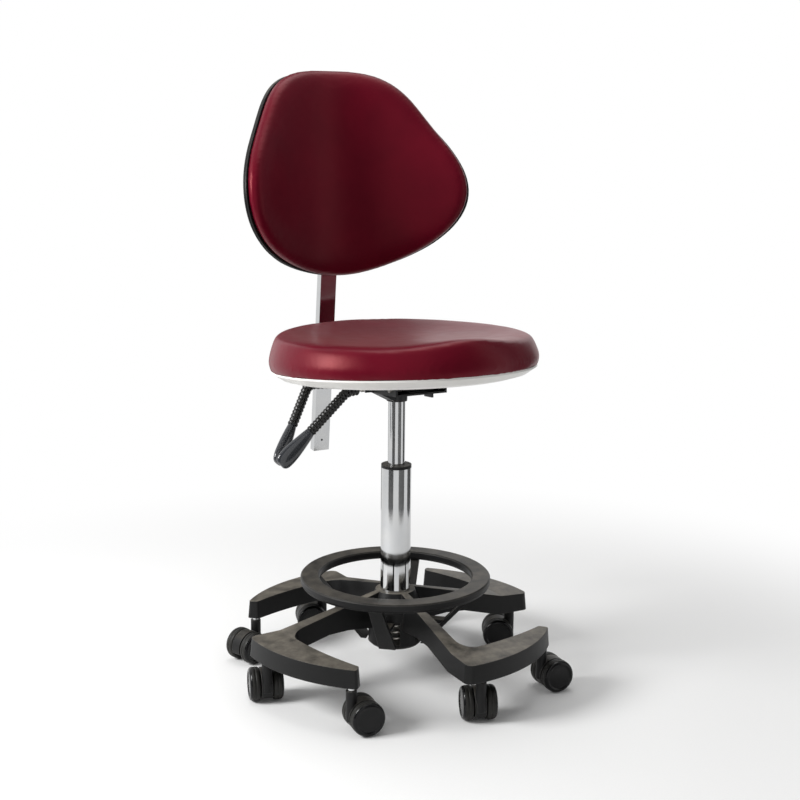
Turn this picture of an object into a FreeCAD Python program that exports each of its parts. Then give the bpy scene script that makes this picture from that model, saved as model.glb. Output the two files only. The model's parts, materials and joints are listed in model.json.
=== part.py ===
import FreeCAD, Part
import Sketcher
import math
import os
import re

# Rolling stool. Millimetres and degrees, floor at z = 0, column on the z axis, the sitter faces -y.

V = FreeCAD.Vector
doc = FreeCAD.newDocument("RollingStool")
sheet = doc.addObject("Spreadsheet::Sheet", "Sizes")

SIZES = [
    # fits
    ("running_fit", 0.05),
    ("swing_gap", 0.5),
    ("seat_gap", 0.2),
    # base: hub and hooked arms
    ("hub_radius", 45),
    ("hub_wall", 4),
    ("hub_bottom", 61),
    ("hub_floor", 104),
    ("floor_thickness", 4),
    ("hub_shoulder", 118),
    ("hub_neck", 33),
    ("hub_top", 150),
    ("arm_foot", 75),
    ("arm_reach", 260),
    ("arm_draft", 4),
    ("arm_root_half", 11),
    ("arm_elbow_half", 16),
    ("arm_inner_half", 15),
    ("hook_inner", "=arm_reach - 61"),
    ("hook_end_turn", 48.8),
    ("hook_width", 20),
    ("hook_bow", 500),
    ("arm_shoulder", "=arm_reach - 55"),
    ("elbow_height", 32),
    ("tip_height", 29),
    ("arch_start", 95),
    ("arch_end", "=arm_reach / 2"),
    ("arch_foot", "=arm_reach - 62"),
    ("arch_rise", 20),
    ("inner_round", "=arm_reach / 10"),
    ("elbow_round", 12),
    ("tip_round", 5),
    # casters
    ("wheel_radius", 27),
    ("wheel_width", 17),
    ("wheel_shoulder", 5),
    ("hood_half", 9),
    ("hood_margin", 0.6),
    ("hood_cut", 9),
    ("hood_open", 20),
    ("wheel_gap", 1.2),
    ("trail", 20),
    ("axle_radius", 4),
    ("stem_radius", 5.5),
    ("stem_grip", 26),
    ("stem_depth", 22),
    ("neck_radius", 8.5),
    ("neck_top", 69),
    ("neck_foot", 20),
    ("elbow_stem_reach", "=arm_reach - 17"),
    ("elbow_stem_turn", 4.5),
    ("tip_stem_reach", "=arm_reach - 10.5"),
    ("tip_stem_turn", 46),
    # foot ring
    ("leg_turn", 48),
    ("slot_half", 18),
    ("ring_inner", 127),
    ("ring_outer", 158),
    ("ring_bottom", 161),
    ("ring_height", 14),
    ("ring_step", 2),
    ("leg_top_reach", 142),
    ("leg_foot_reach", 51),
    ("leg_foot", 62),
    ("leg_thickness", 9),
    ("leg_top_half", 10.5),
    ("leg_foot_half", 14),
    ("spider_radius", 39),
    ("spider_thickness", 6),
    ("spider_arm_half", 9),
    # return spring and hub cover
    ("cover_flange", 4),
    ("cover_plug", 2.5),
    ("spring_radius", 33),
    ("spring_wire", 3.5),
    ("spring_turns", 2.75),
    ("spring_steps", 16),
    # column and gas lift
    ("column_radius", 25),
    ("column_wall", 1.5),
    ("column_top", 358.5),
    ("bush_flange", 5),
    ("bush_depth", 28),
    ("bearing_radius", 14),
    ("bearing_height", 6),
    ("rod_radius", 5),
    ("rod_collar_radius", 11),
    ("rod_collar", 3),
    ("rod_top", 250),
    ("piston_depth", 12),
    ("valve_radius", 2),
    ("valve_depth", 160),
    ("cylinder_radius", 14),
    ("cylinder_wall", 1.5),
    ("cylinder_bottom", 222),
    ("cylinder_top", "=seat_z - 30.4"),
    ("cylinder_guide", 12),
    # seat, level before it is leaned
    ("seat_y", -24),
    ("seat_z", 530.4),
    ("seat_lean", 4.5),
    ("seat_edge", 212.4),
    ("seat_radius", 219),
    ("seat_bulge", 9),
    ("rim_radius", 192),
    ("rim_height", 46),
    ("rear_rise", 21),
    ("pommel_rise", 10),
    ("pommel_turn", 22),
    ("dish_height", 41),
    ("pan_depth", 17.4),
    ("pan_wall", 3),
    ("pan_floor_radius", 180),
    ("pan_heel_radius", 197),
    ("pan_heel", 13),
    ("board_thickness", 10),
    # tilt mechanism, in the seat's lean
    ("tray_half", 46),
    ("tray_wall", 3),
    ("tray_bottom", "=seat_z - 41.9"),
    ("tray_top", "=tray_bottom + 17"),
    ("tray_front", -78),
    ("tray_end", 92),
    ("tray_rear", 114),
    ("socket_radius", 17),
    ("socket_bottom", "=seat_z - 60.4"),
    ("socket_top", "=seat_z - 28.4"),
    ("gusset_half", 15),
    ("lip_front", -35),
    ("lip_rear", -10),
    ("lip_drop", 12),
    ("pivot_radius", 5),
    ("seat_pivot_y", -60),
    ("seat_pivot_z", "=seat_z - 31.4"),
    ("back_pivot_y", 104),
    ("back_pivot_z", "=seat_z - 31.9"),
    ("lever_pin_radius", 3),
    ("lever_pivot_x", -54),
    ("lever_pivot_z", "=seat_z - 33.4"),
    ("seat_lever_y", 5),
    ("back_lever_y", 90),
    ("ear_wall", 3),
    ("ear_reach", 61),
    ("ear_bottom", "=seat_z - 40.4"),
    ("ear_top", "=seat_z - 26.4"),
    ("plate_half", 64),
    ("plate_length", 172),
    ("plate_wall", 2.5),
    ("lug_wall", 3.5),
    ("lug_half", 11),
    ("bolt_x", 54),
    ("bolt_y", 68),
    ("bolt_radius", 3),
    ("bolt_head", 5),
    ("bolt_head_height", 4),
    ("bolt_grip", 8),
    # levers
    ("lever_rod", 4),
    ("lever_eye", 7),
    ("lever_eye_half", 5),
    ("lever_bend", 14),
    ("sleeve_start", 18),
    ("sleeve_slack", 0.15),
    ("sleeve_ribs", 17),
    ("sleeve_sides", 12),
    ("sleeve_crest", 8.8),
    ("sleeve_root", 7.2),
    ("paddle_length", 70),
    ("paddle_grip", 14),
    ("paddle_half", 13),
    ("paddle_thickness", 15),
    ("seat_lever_bend_x", -92),
    ("seat_lever_bend_z", "=seat_z - 39.4"),
    ("seat_lever_tip_x", -207),
    ("seat_lever_tip_y", 0),
    ("seat_lever_tip_z", "=seat_z - 145.4"),
    ("back_lever_bend_x", -104),
    ("back_lever_bend_y", 117),
    ("back_lever_bend_z", "=seat_z - 45.4"),
    ("back_lever_tip_x", -185),
    ("back_lever_tip_y", 62),
    ("back_lever_tip_z", "=seat_z - 158.4"),
    # back bracket and bar
    ("barrel_radius", 8),
    ("tongue_half", 36),
    ("tongue_end_half", 14),
    ("tongue_bottom", "=seat_z - 46.4"),
    ("tongue_thickness", 6),
    ("bar_width", 30),
    ("bar_depth", 15),
    ("bar_wall", 2),
    ("bar_foot_y", 291),
    ("bar_foot_z", "=seat_z - 202.4"),
    ("bar_lean", 5.59),
    ("bar_bend", 120),
    ("bar_upper", 150),
    ("bar_hole_radius", 2),
    ("bar_hole_height", 20),
    ("collar_start", 143),
    ("collar_length", 38),
    ("collar_wall", 4.5),
    ("lug_block_half", 18),
    ("lug_block_depth", 18),
    ("lug_block_height", 18),
    ("clamp_bolt_radius", 4),
    ("clamp_head", 6.5),
    ("clamp_head_height", 5),
    # backrest, lean and hollow
    ("back_y", 230.7),
    ("back_z", "=seat_z + 310.8"),
    ("back_lean", 8),
    ("back_mean", 185.67),
    ("back_drop", -20.03),
    ("back_oval", -6.87),
    ("back_three", 10.17),
    ("back_four", -3.21),
    ("back_five", -4.97),
    ("back_hollow", 0.00261),
    ("pad_front", 21),
    ("pad_back", 12),
    ("shell_gap", 0.3),
    ("shell_back", 27),
    ("shell_lip", 2.2),
    ("mount_half_width", 22),
    ("mount_half_height", 40),
    ("mount_wall", 3),
    ("mount_recess", 2.5),
]

for row, (name, size) in enumerate(SIZES, 1):
    sheet.set("A%d" % row, name)
    sheet.setAlias("B%d" % row, name)
for row, (name, size) in enumerate(SIZES, 1):
    sheet.set("B%d" % row, str(size))
doc.recompute()
NAMES = {name for name, size in SIZES}


# Expressions.
def tied(text):
    """The expression with each size's name pointing at its cell."""
    def cell(match):
        word = match.group(0)
        return "Sizes." + word if word in NAMES else word

    return re.sub(r"[a-z][a-z_]*", cell, text)


def value(text):
    return float(sheet.evalExpression(tied(text)))


def point(*texts):
    return V(*[value(text) for text in texts])


def bind(item, prop, text):
    item.setExpression(prop, tied(text))


# Sketches and features.
def new_body(name):
    return doc.addObject("PartDesign::Body", name)


def origin_of(body, role):
    return [item for item in body.Origin.OriginFeatures if item.Role == role][0]


def new_sketch(body, plane, lift="0", turn="0"):
    sketch = body.newObject("Sketcher::SketchObject", "Outline")
    sketch.AttachmentSupport = (origin_of(body, plane), "")
    sketch.MapMode = "FlatFace"
    bind(sketch, "AttachmentOffset.Base.z", lift)
    if turn != "0":
        sketch.AttachmentOffset = FreeCAD.Placement(V(0, 0, value(lift)), FreeCAD.Rotation(V(0, 0, 1), 0))
        bind(sketch, "AttachmentOffset.Rotation.Angle", turn)
    return sketch


def fix_point(sketch, item, end, x, y):
    """Ties one end of a sketch line to the expressions x and y."""
    for kind, text in (("DistanceX", x), ("DistanceY", y)):
        at = sketch.addConstraint(Sketcher.Constraint(kind, -1, 1, item, end, value(text)))
        bind(sketch, "Constraints[%d]" % at, text)


def add_outline(sketch, corners):
    """Closed outline; a corner is (x, y) or (x, y, radius of the arc that leaves it, minus for clockwise)."""
    first = sketch.GeometryCount
    spots = [point(c[0], c[1], "0") for c in corners]
    count = len(corners)
    for i, corner in enumerate(corners):
        start = spots[i]
        end = spots[(i + 1) % count]
        if len(corner) == 2:
            sketch.addGeometry(Part.LineSegment(start, end))
            continue
        radius = value(corner[2])
        chord = end - start
        across = V(-chord.y, chord.x, 0).normalize()
        half = chord.Length / 2
        sink = math.sqrt(max(radius * radius - half * half, 0))
        side = 1 if radius > 0 else -1
        centre = (start + end) * 0.5 + across * (sink * side)
        ends = [math.atan2(spot.y - centre.y, spot.x - centre.x) for spot in (start, end)[::side]]
        sketch.addGeometry(Part.ArcOfCircle(Part.Circle(centre, V(0, 0, 1), abs(radius)), *ends))
    for i, corner in enumerate(corners):
        here = first + i
        after = first + (i + 1) % count
        flipped = len(corner) == 3 and value(corner[2]) < 0
        next_flipped = len(corners[(i + 1) % count]) == 3 and value(corners[(i + 1) % count][2]) < 0
        sketch.addConstraint(
            Sketcher.Constraint("Coincident", here, 1 if flipped else 2, after, 2 if next_flipped else 1))
    for i, corner in enumerate(corners):
        flipped = len(corner) == 3 and value(corner[2]) < 0
        fix_point(sketch, first + i, 2 if flipped else 1, corner[0], corner[1])
        if len(corner) == 3:
            at = sketch.addConstraint(Sketcher.Constraint("Radius", first + i, abs(value(corner[2]))))
            bind(sketch, "Constraints[%d]" % at, "abs(%s)" % corner[2])


def add_circle(sketch, x, y, radius):
    at = sketch.addGeometry(Part.Circle(point(x, y, "0"), V(0, 0, 1), value(radius)))
    fix_point(sketch, at, 3, x, y)
    row = sketch.addConstraint(Sketcher.Constraint("Radius", at, value(radius)))
    bind(sketch, "Constraints[%d]" % row, radius)


def block_outline(x0, y0, x1, y1):
    return [(x0, y0), (x1, y0), (x1, y1), (x0, y1)]


def feature(body, kind, sketch, name):
    item = body.newObject("PartDesign::" + kind, name)
    item.Profile = sketch
    sketch.Visibility = False
    return item


def pad(body, sketch, length, back=False, middle=False, name="Pad"):
    item = feature(body, "Pad", sketch, name)
    bind(item, "Length", length)
    item.Reversed = back
    item.Midplane = middle
    doc.recompute()
    return item


def pocket(body, sketch, length, back=False, middle=False, name="Pocket"):
    item = feature(body, "Pocket", sketch, name)
    bind(item, "Length", length)
    item.Reversed = back
    item.Midplane = middle
    doc.recompute()
    return item


def turned(body, corners, cut=False, name="Turned"):
    """Revolves an outline of (radius, height) corners about the body's z axis, or cuts it away."""
    sketch = new_sketch(body, "XZ_Plane")
    add_outline(sketch, corners)
    item = feature(body, "Groove" if cut else "Revolution", sketch, name)
    item.ReferenceAxis = (sketch, ["V_Axis"])
    item.Angle = 360
    doc.recompute()
    return item


def loft(body, first, last, name):
    item = feature(body, "AdditiveLoft", first, name)
    item.Sections = [last]
    item.Ruled = True
    last.Visibility = False
    doc.recompute()
    return item


def around(body, items, count, name="Around"):
    pattern = body.newObject("PartDesign::PolarPattern", name)
    pattern.Originals = items
    pattern.Axis = (origin_of(body, "Z_Axis"), [""])
    pattern.Angle = 360
    pattern.Occurrences = count
    body.Tip = pattern
    doc.recompute()
    return pattern


def round_edges(body, base, chosen, radius, name="Round"):
    names = ["Edge%d" % i for i, edge in enumerate(base.Shape.Edges, 1) if chosen(edge)]
    item = body.newObject("PartDesign::Fillet", name)
    item.Base = (base, names)
    bind(item, "Radius", radius)
    doc.recompute()
    return item


# Plain solids.
def cylinder(name, radius, height, at, along=V(0, 0, 1)):
    item = doc.addObject("Part::Cylinder", name)
    bind(item, "Radius", radius)
    bind(item, "Height", height)
    item.Placement = FreeCAD.Placement(at, FreeCAD.Rotation(V(0, 0, 1), along))
    return item


def hexagon(name, radius, height, at, along):
    item = doc.addObject("Part::Prism", name)
    item.Polygon = 6
    bind(item, "Circumradius", radius)
    bind(item, "Height", height)
    item.Placement = FreeCAD.Placement(at, FreeCAD.Rotation(V(0, 0, 1), along))
    return item


def fused(name, items):
    item = doc.addObject("Part::MultiFuse", name)
    item.Shapes = items
    item.Refine = True
    doc.recompute()
    return item


def cut(name, base, tool):
    item = doc.addObject("Part::Cut", name)
    item.Base = base
    item.Tool = tool
    doc.recompute()
    return item


def grouped(name, items):
    item = doc.addObject("Part::Compound", name)
    item.Links = items
    doc.recompute()
    return item


def solid(name, shape, placement=None):
    item = doc.addObject("Part::Feature", name)
    item.Shape = shape
    if placement:
        item.Placement = placement
    return item


def steps_round(sides):
    return [2 * math.pi / sides * k for k in range(sides)]


def skin(rings, endless=False):
    """A solid of flat facets over rings of spots; an endless one closes on its first ring."""
    sides = len(rings[0])
    faces = []
    pairs = list(zip(rings, rings[1:]))
    if endless:
        pairs.append((rings[-1], rings[0]))
    else:
        faces += [Part.Face(Part.makePolygon(ring + ring[:1])) for ring in (rings[0], rings[-1])]
    for low, high in pairs:
        for k in range(sides):
            after = (k + 1) % sides
            for three in ((low[k], low[after], high[after]), (low[k], high[after], high[k])):
                faces.append(Part.Face(Part.makePolygon(list(three) + [three[0]])))
    shell = Part.makeShell(faces)
    shell.sewShape()
    shape = Part.makeSolid(shell)
    if shape.Volume < 0:
        shape.reverse()
    return shape


NODES = []
# Straight sides round a soft piece.
SIDES = 36


def keep(*items):
    NODES.extend(items)


# The seat's lean: everything under the seat is drawn level and leaned together.
SEAT_LEAN = FreeCAD.Placement(
    V(0, 0, 0), FreeCAD.Rotation(V(1, 0, 0), -value("seat_lean")), point("0", "seat_y", "seat_z"))


def leaned(item, shift=V(0, 0, 0)):
    item.Placement = SEAT_LEAN.multiply(FreeCAD.Placement(shift, FreeCAD.Rotation())).multiply(item.Placement)
    return item


def leaned_point(*texts):
    return SEAT_LEAN.multVec(point(*texts))


LEAN_Y = SEAT_LEAN.Rotation.multVec(V(0, 1, 0))
LEAN_Z = SEAT_LEAN.Rotation.multVec(V(0, 0, 1))


# Base frame.
def arm_corners(inset):
    """Plan of the first arm and its hook, drawn in by the inset all round."""
    reach = "(arm_reach - %s)" % inset
    inner = "(arm_reach - hook_width + %s)" % inset
    last = "(hook_end_turn - %s / arm_reach * 180 / pi)" % inset
    elbow = "(arm_elbow_half - %s)" % inset
    root = "(arm_root_half - %s)" % inset
    return [
        ("column_radius + 3", "-" + root),
        ("sqrt(%s^2 - %s^2)" % (reach, elbow), "-" + elbow, reach),
        ("%s * cos(%s)" % (reach, last), "%s * sin(%s)" % (reach, last)),
        ("%s * cos(%s)" % (inner, last), "%s * sin(%s)" % (inner, last), "-(hook_bow + %s)" % inset),
        ("hook_inner + %s" % inset, "arm_inner_half - %s" % inset),
        ("column_radius + 3", root),
    ]


def upright_near(x, y, reach):
    """Chooses the steep edges of all four arms near the plan place (x, y) of the first arm."""
    spot = point(x, y, "0")

    def chosen(edge):
        ends = [v.Point for v in edge.Vertexes]
        if len(ends) < 2:
            return False
        run = ends[1] - ends[0]
        if abs(run.z) < 0.9 * run.Length:
            return False
        middle = (ends[0] + ends[1]) * 0.5
        for quarter in range(4):
            turned_spot = FreeCAD.Rotation(V(0, 0, 1), 90 * quarter).multVec(spot)
            if V(middle.x - turned_spot.x, middle.y - turned_spot.y, 0).Length < reach:
                return True
        return False

    return chosen


def base_frame():
    body = new_body("base_frame")
    turned(body, [
        ("0", "hub_bottom"),
        ("hub_radius", "hub_bottom"),
        ("hub_radius", "hub_shoulder"),
        ("hub_neck", "hub_top"),
        ("0", "hub_top"),
    ], name="Hub")
    plan = new_sketch(body, "XY_Plane", "arm_foot")
    add_outline(plan, arm_corners("0"))
    crown = new_sketch(body, "XY_Plane", "hub_top")
    add_outline(crown, arm_corners("((hub_top - arm_foot) * tan(arm_draft))"))
    arm = loft(body, plan, crown, "Arm")
    around(body, [arm], 4, "Arms")
    turned(body, [
        ("hub_neck", "hub_top"),
        ("arm_shoulder", "arm_foot + elbow_height"),
        ("arm_reach + 5", "arm_foot + tip_height"),
        ("arm_reach + 5", "hub_top + 20"),
        ("hub_neck", "hub_top + 20"),
    ], cut=True, name="ArmTops")
    turned(body, [
        ("hub_radius", "arm_foot - 10"),
        ("arch_foot + arch_rise / 2", "arm_foot - 10"),
        ("arch_foot", "arm_foot"),
        ("arch_end", "arm_foot + arch_rise - 2"),
        ("arch_start", "arm_foot + arch_rise"),
        ("hub_radius", "arm_foot + arch_rise - 4"),
    ], cut=True, name="ArmArches")
    turned(body, [
        ("0", "hub_bottom - 5"),
        ("hub_radius - hub_wall", "hub_bottom - 5"),
        ("hub_radius - hub_wall", "hub_floor"),
        ("0", "hub_floor"),
    ], cut=True, name="HubHollow")
    turned(body, [
        ("0", "hub_floor - 1"),
        ("rod_radius + running_fit + 1", "hub_floor - 1"),
        ("rod_radius + running_fit + 1", "hub_floor + floor_thickness"),
        ("column_radius + running_fit", "hub_floor + floor_thickness"),
        ("column_radius + running_fit", "hub_top + 5"),
        ("0", "hub_top + 5"),
    ], cut=True, name="ColumnBore")
    mouth = new_sketch(body, "XY_Plane", "hub_bottom - 5", "leg_turn")
    add_outline(mouth, block_outline(
        "hub_radius - hub_wall - 9", "-slot_half", "hub_radius + 5", "slot_half"))
    slot = pocket(body, mouth, "hub_floor - hub_bottom + 5", back=True, name="LegSlot")
    around(body, [slot], 4, "LegSlots")
    holes = []
    for place in ("elbow", "tip"):
        reach = place + "_stem_reach"
        turn = place + "_stem_turn"
        ring = new_sketch(body, "XY_Plane", "arm_foot")
        across = "%s * cos(%s)" % (reach, turn)
        along = "%s * sin(%s)" % (reach, turn)
        add_circle(ring, across, along, "stem_radius + running_fit")
        holes.append(pocket(body, ring, "stem_depth", back=True, name=place.capitalize() + "Socket"))
    last = around(body, holes, 4, "StemSockets")
    corners = arm_corners("1")
    for name, at, radius in (("InnerRound", 4, "inner_round"), ("ElbowRound", 1, "elbow_round")):
        last = round_edges(body, last, upright_near(corners[at][0], corners[at][1], 8), radius, name)
    for name, at in (("HookOuterRound", 2), ("HookInnerRound", 3)):
        last = round_edges(body, last, upright_near(corners[at][0], corners[at][1], 6), "tip_round", name)
    keep(body)


# Foot ring, spider, release rod, spring and hub cover.
def foot_ring():
    body = new_body("foot_ring")
    disc = new_sketch(body, "XY_Plane", "hub_floor - spider_thickness")
    add_circle(disc, "0", "0", "spider_radius")
    pad(body, disc, "spider_thickness", name="Spider")
    leg_at_spider = ("leg_foot_reach + (leg_top_reach - leg_foot_reach)"
                     " * (hub_floor - spider_thickness - leg_foot) / (ring_bottom - leg_foot)")
    reach = new_sketch(body, "XY_Plane", "hub_floor - spider_thickness", "leg_turn")
    add_outline(reach, block_outline("0", "-spider_arm_half", leg_at_spider, "spider_arm_half"))
    arm = pad(body, reach, "spider_thickness", name="SpiderArm")
    foot = new_sketch(body, "XY_Plane", "leg_foot", "leg_turn")
    add_outline(foot, block_outline("leg_foot_reach - leg_thickness / 2", "-leg_foot_half",
                                    "leg_foot_reach + leg_thickness / 2", "leg_foot_half"))
    head = new_sketch(body, "XY_Plane", "ring_bottom + ring_step", "leg_turn")
    add_outline(head, block_outline("leg_top_reach - leg_thickness / 2", "-leg_top_half",
                                    "leg_top_reach + leg_thickness / 2", "leg_top_half"))
    leg = loft(body, foot, head, "Leg")
    around(body, [arm, leg], 4, "Legs")
    turned(body, [
        ("ring_inner + ring_step", "ring_bottom"),
        ("ring_outer - ring_step", "ring_bottom"),
        ("ring_outer", "ring_bottom + 2 * ring_step"),
        ("ring_outer", "ring_bottom + ring_height - ring_step"),
        ("ring_outer - ring_step", "ring_bottom + ring_height"),
        ("ring_inner + ring_step", "ring_bottom + ring_height"),
        ("ring_inner", "ring_bottom + ring_height - ring_step"),
        ("ring_inner", "ring_bottom + 2 * ring_step"),
    ], name="Ring")
    keep(body)
    keep(cylinder("release_rod", "valve_radius", "valve_depth - hub_floor", point("0", "0", "hub_floor")))


def return_spring():
    """One unbroken coil between the hub cover and the spider, through rings along its helix."""
    wire = value("spring_wire")
    radius = value("spring_radius")
    low = value("hub_bottom + cover_plug + spring_wire / 2 + seat_gap")
    high = value("hub_floor - spider_thickness - spring_wire / 2 - seat_gap")
    turns = value("spring_turns")
    pitch = (high - low) / turns
    steps = int(round(turns * value("spring_steps")))

    def spot(turn):
        return V(radius * math.cos(turn), radius * math.sin(turn), low + pitch * turn / (2 * math.pi))

    rings = []
    for k in range(steps + 1):
        turn = 2 * math.pi * turns * k / steps
        out = V(math.cos(turn), math.sin(turn), 0)
        up = out.cross(V(-math.sin(turn), math.cos(turn), pitch / (2 * math.pi * radius)).normalize())
        around_wire = [out * math.cos(a) + up * math.sin(a) for a in steps_round(10)]
        rings.append([spot(turn) + way_out * (wire / 2) for way_out in around_wire])
    places = [spot(2 * math.pi * turns * k / 100) for k in range(101)]
    lap = int(60 / turns)
    least = min((a - b).Length for i, a in enumerate(places) for b in places[i + lap:])
    print("spring: least gap between turns %.2f mm" % (least - wire))
    keep(solid("return_spring", skin(rings)))


def hub_cover():
    body = new_body("hub_cover")
    turned(body, [
        ("0", "hub_bottom - cover_flange"),
        ("hub_radius - hub_wall", "hub_bottom - cover_flange"),
        ("hub_radius", "hub_bottom"),
        ("hub_radius - hub_wall - seat_gap", "hub_bottom"),
        ("hub_radius - hub_wall - seat_gap", "hub_bottom + cover_plug"),
        ("0", "hub_bottom + cover_plug"),
    ])
    keep(body)


# Column and gas lift.
def column():
    tube = new_body("column_tube")
    turned(tube, [
        ("column_radius - column_wall", "hub_floor + floor_thickness"),
        ("column_radius", "hub_floor + floor_thickness"),
        ("column_radius", "column_top"),
        ("column_radius - column_wall", "column_top"),
    ])
    bush = new_body("column_bush")
    turned(bush, [
        ("cylinder_radius + running_fit", "column_top - bush_depth"),
        ("column_radius - column_wall - running_fit", "column_top - bush_depth"),
        ("column_radius - column_wall - running_fit", "column_top"),
        ("column_radius", "column_top"),
        ("column_radius", "column_top + bush_flange"),
        ("cylinder_radius + running_fit", "column_top + bush_flange"),
    ])
    bearing = new_body("thrust_bearing")
    turned(bearing, [
        ("rod_radius + running_fit", "hub_floor + floor_thickness"),
        ("bearing_radius", "hub_floor + floor_thickness"),
        ("bearing_radius", "hub_floor + floor_thickness + bearing_height"),
        ("rod_radius + running_fit", "hub_floor + floor_thickness + bearing_height"),
    ])
    rod = new_body("piston_rod")
    collar = "hub_floor + floor_thickness + bearing_height"
    turned(rod, [
        ("valve_radius + running_fit", "hub_floor + seat_gap"),
        ("rod_radius", "hub_floor + seat_gap"),
        ("rod_radius", collar),
        ("rod_collar_radius", collar),
        ("rod_collar_radius", collar + " + rod_collar"),
        ("rod_radius", collar + " + rod_collar"),
        ("rod_radius", "rod_top - piston_depth"),
        ("cylinder_radius - cylinder_wall - running_fit", "rod_top - piston_depth"),
        ("cylinder_radius - cylinder_wall - running_fit", "rod_top"),
        ("0", "rod_top"),
        ("0", "valve_depth + 1"),
        ("valve_radius + running_fit", "valve_depth + 1"),
    ])
    lift = new_body("gas_cylinder")
    inner = "cylinder_radius - cylinder_wall"
    turned(lift, [
        ("rod_radius + running_fit", "cylinder_bottom"),
        ("cylinder_radius", "cylinder_bottom"),
        ("cylinder_radius", "cylinder_top"),
        ("0", "cylinder_top"),
        ("0", "cylinder_top - cylinder_guide"),
        (inner, "cylinder_top - cylinder_guide"),
        (inner, "cylinder_bottom + cylinder_guide"),
        ("rod_radius + running_fit", "cylinder_bottom + cylinder_guide"),
    ])
    keep(tube, bush, bearing, rod, lift)


# Tilt mechanism.
def tilt_housing():
    body = new_body("tilt_tray")
    bend = new_sketch(body, "XZ_Plane", "-tray_rear")
    add_outline(bend, [
        ("-tray_half", "tray_bottom"),
        ("tray_half", "tray_bottom"),
        ("tray_half", "tray_top"),
        ("tray_half - tray_wall", "tray_top"),
        ("tray_half - tray_wall", "tray_bottom + tray_wall"),
        ("tray_wall - tray_half", "tray_bottom + tray_wall"),
        ("tray_wall - tray_half", "tray_top"),
        ("-tray_half", "tray_top"),
    ])
    pad(body, bend, "tray_rear - tray_front", name="Channel")
    notch = new_sketch(body, "XY_Plane", "tray_bottom - 1")
    add_outline(notch, block_outline(
        "tray_wall - tray_half", "tray_end", "tray_half - tray_wall", "tray_rear + 1"))
    pocket(body, notch, "tray_wall + 2", back=True, name="RearMouth")
    gusset = new_sketch(body, "XZ_Plane")
    add_outline(gusset, [
        ("tray_wall - tray_half", "tray_bottom + tray_wall"),
        ("tray_wall - tray_half", "tray_bottom"),
        ("-cylinder_radius", "socket_bottom + tray_wall"),
        ("-cylinder_radius", "tray_bottom + tray_wall"),
    ])
    pad(body, gusset, "2 * gusset_half", middle=True, name="Gusset")
    lip = new_sketch(body, "XZ_Plane", "-lip_rear")
    add_outline(lip, block_outline("tray_half - tray_wall", "tray_bottom - lip_drop",
                                   "tray_half", "tray_bottom + tray_wall"))
    pad(body, lip, "lip_rear - lip_front", name="Lip")
    far_ear = "+ lever_eye_half + swing_gap + ear_wall"
    near_ear = "- lever_eye_half - swing_gap"
    for lever, sides in (("seat_lever", (far_ear, near_ear)), ("back_lever", (near_ear,))):
        for side in sides:
            ear = new_sketch(body, "XZ_Plane", "-(%s_y %s)" % (lever, side))
            add_outline(ear, block_outline(
                "-ear_reach", "ear_bottom", "tray_wall / 2 - tray_half", "ear_top"))
            pad(body, ear, "ear_wall", name="Ear")
    leaned(body)
    foot = point("0", "0", "socket_bottom")
    socket = cylinder("socket", "socket_radius", "socket_top - socket_bottom", foot)
    whole = fused("tray_and_socket", [body, socket])
    tools = [cylinder("socket_bore", "cylinder_radius + running_fit", "socket_top - socket_bottom + 40",
                      point("0", "0", "socket_bottom - 20"))]
    for name, y, z in (
        ("seat_pin_hole", "seat_pivot_y", "seat_pivot_z"),
        ("back_pin_hole", "back_pivot_y", "back_pivot_z"),
    ):
        tools.append(leaned(cylinder(name, "pivot_radius + running_fit", "2 * tray_half + 10",
                                     point("-tray_half - 5", y, z), V(1, 0, 0))))
    for lever in ("seat_lever", "back_lever"):
        tools.append(leaned(cylinder(lever + "_hole", "lever_pin_radius + running_fit", "40",
                                     point("lever_pivot_x", lever + "_y - 20", "lever_pivot_z"), V(0, 1, 0))))
    keep(cut("tilt_housing", whole, fused("housing_holes", tools)))


def pivot_pins():
    pins = []
    for name, y, z in (
        ("seat_pin", "seat_pivot_y", "seat_pivot_z"),
        ("back_pin", "back_pivot_y", "back_pivot_z"),
    ):
        pins.append(leaned(cylinder(name, "pivot_radius", "2 * tray_half + 6",
                                    point("-tray_half - 3", y, z), V(1, 0, 0))))
    for lever in ("seat_lever", "back_lever"):
        half = "(lever_eye_half + swing_gap + ear_wall + 2)"
        end = point("lever_pivot_x", lever + "_y - " + half, "lever_pivot_z")
        pins.append(leaned(cylinder(lever + "_pin", "lever_pin_radius", "2 * " + half, end, V(0, 1, 0))))
    keep(grouped("pivot_pins", pins))


# Seat.
def seat_plate():
    body = new_body("seat_plate")
    under = "seat_z - pan_depth - plate_wall"
    flat = new_sketch(body, "XY_Plane", under)
    add_outline(flat, block_outline(
        "-plate_half", "seat_y - plate_length / 2", "plate_half", "seat_y + plate_length / 2"))
    for x in ("-bolt_x", "bolt_x"):
        for y in ("seat_y - bolt_y", "seat_y + bolt_y"):
            add_circle(flat, x, y, "bolt_radius + running_fit")
    pad(body, flat, "plate_wall", name="Plate")
    inner = "tray_half - tray_wall - swing_gap"
    for start in (inner + " - lug_wall", "-(%s)" % inner):
        lug = new_sketch(body, "YZ_Plane", start)
        add_outline(lug, [
            ("seat_pivot_y - lug_half", under + " + plate_wall / 2"),
            ("seat_pivot_y - pivot_radius - 3", "seat_pivot_z - pivot_radius - 1"),
            ("seat_pivot_y + pivot_radius + 3", "seat_pivot_z - pivot_radius - 1"),
            ("seat_pivot_y + lug_half", under + " + plate_wall / 2"),
        ])
        add_circle(lug, "seat_pivot_y", "seat_pivot_z", "pivot_radius + running_fit")
        pad(body, lug, "lug_wall", name="Lug")
    keep(leaned(body))


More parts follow.
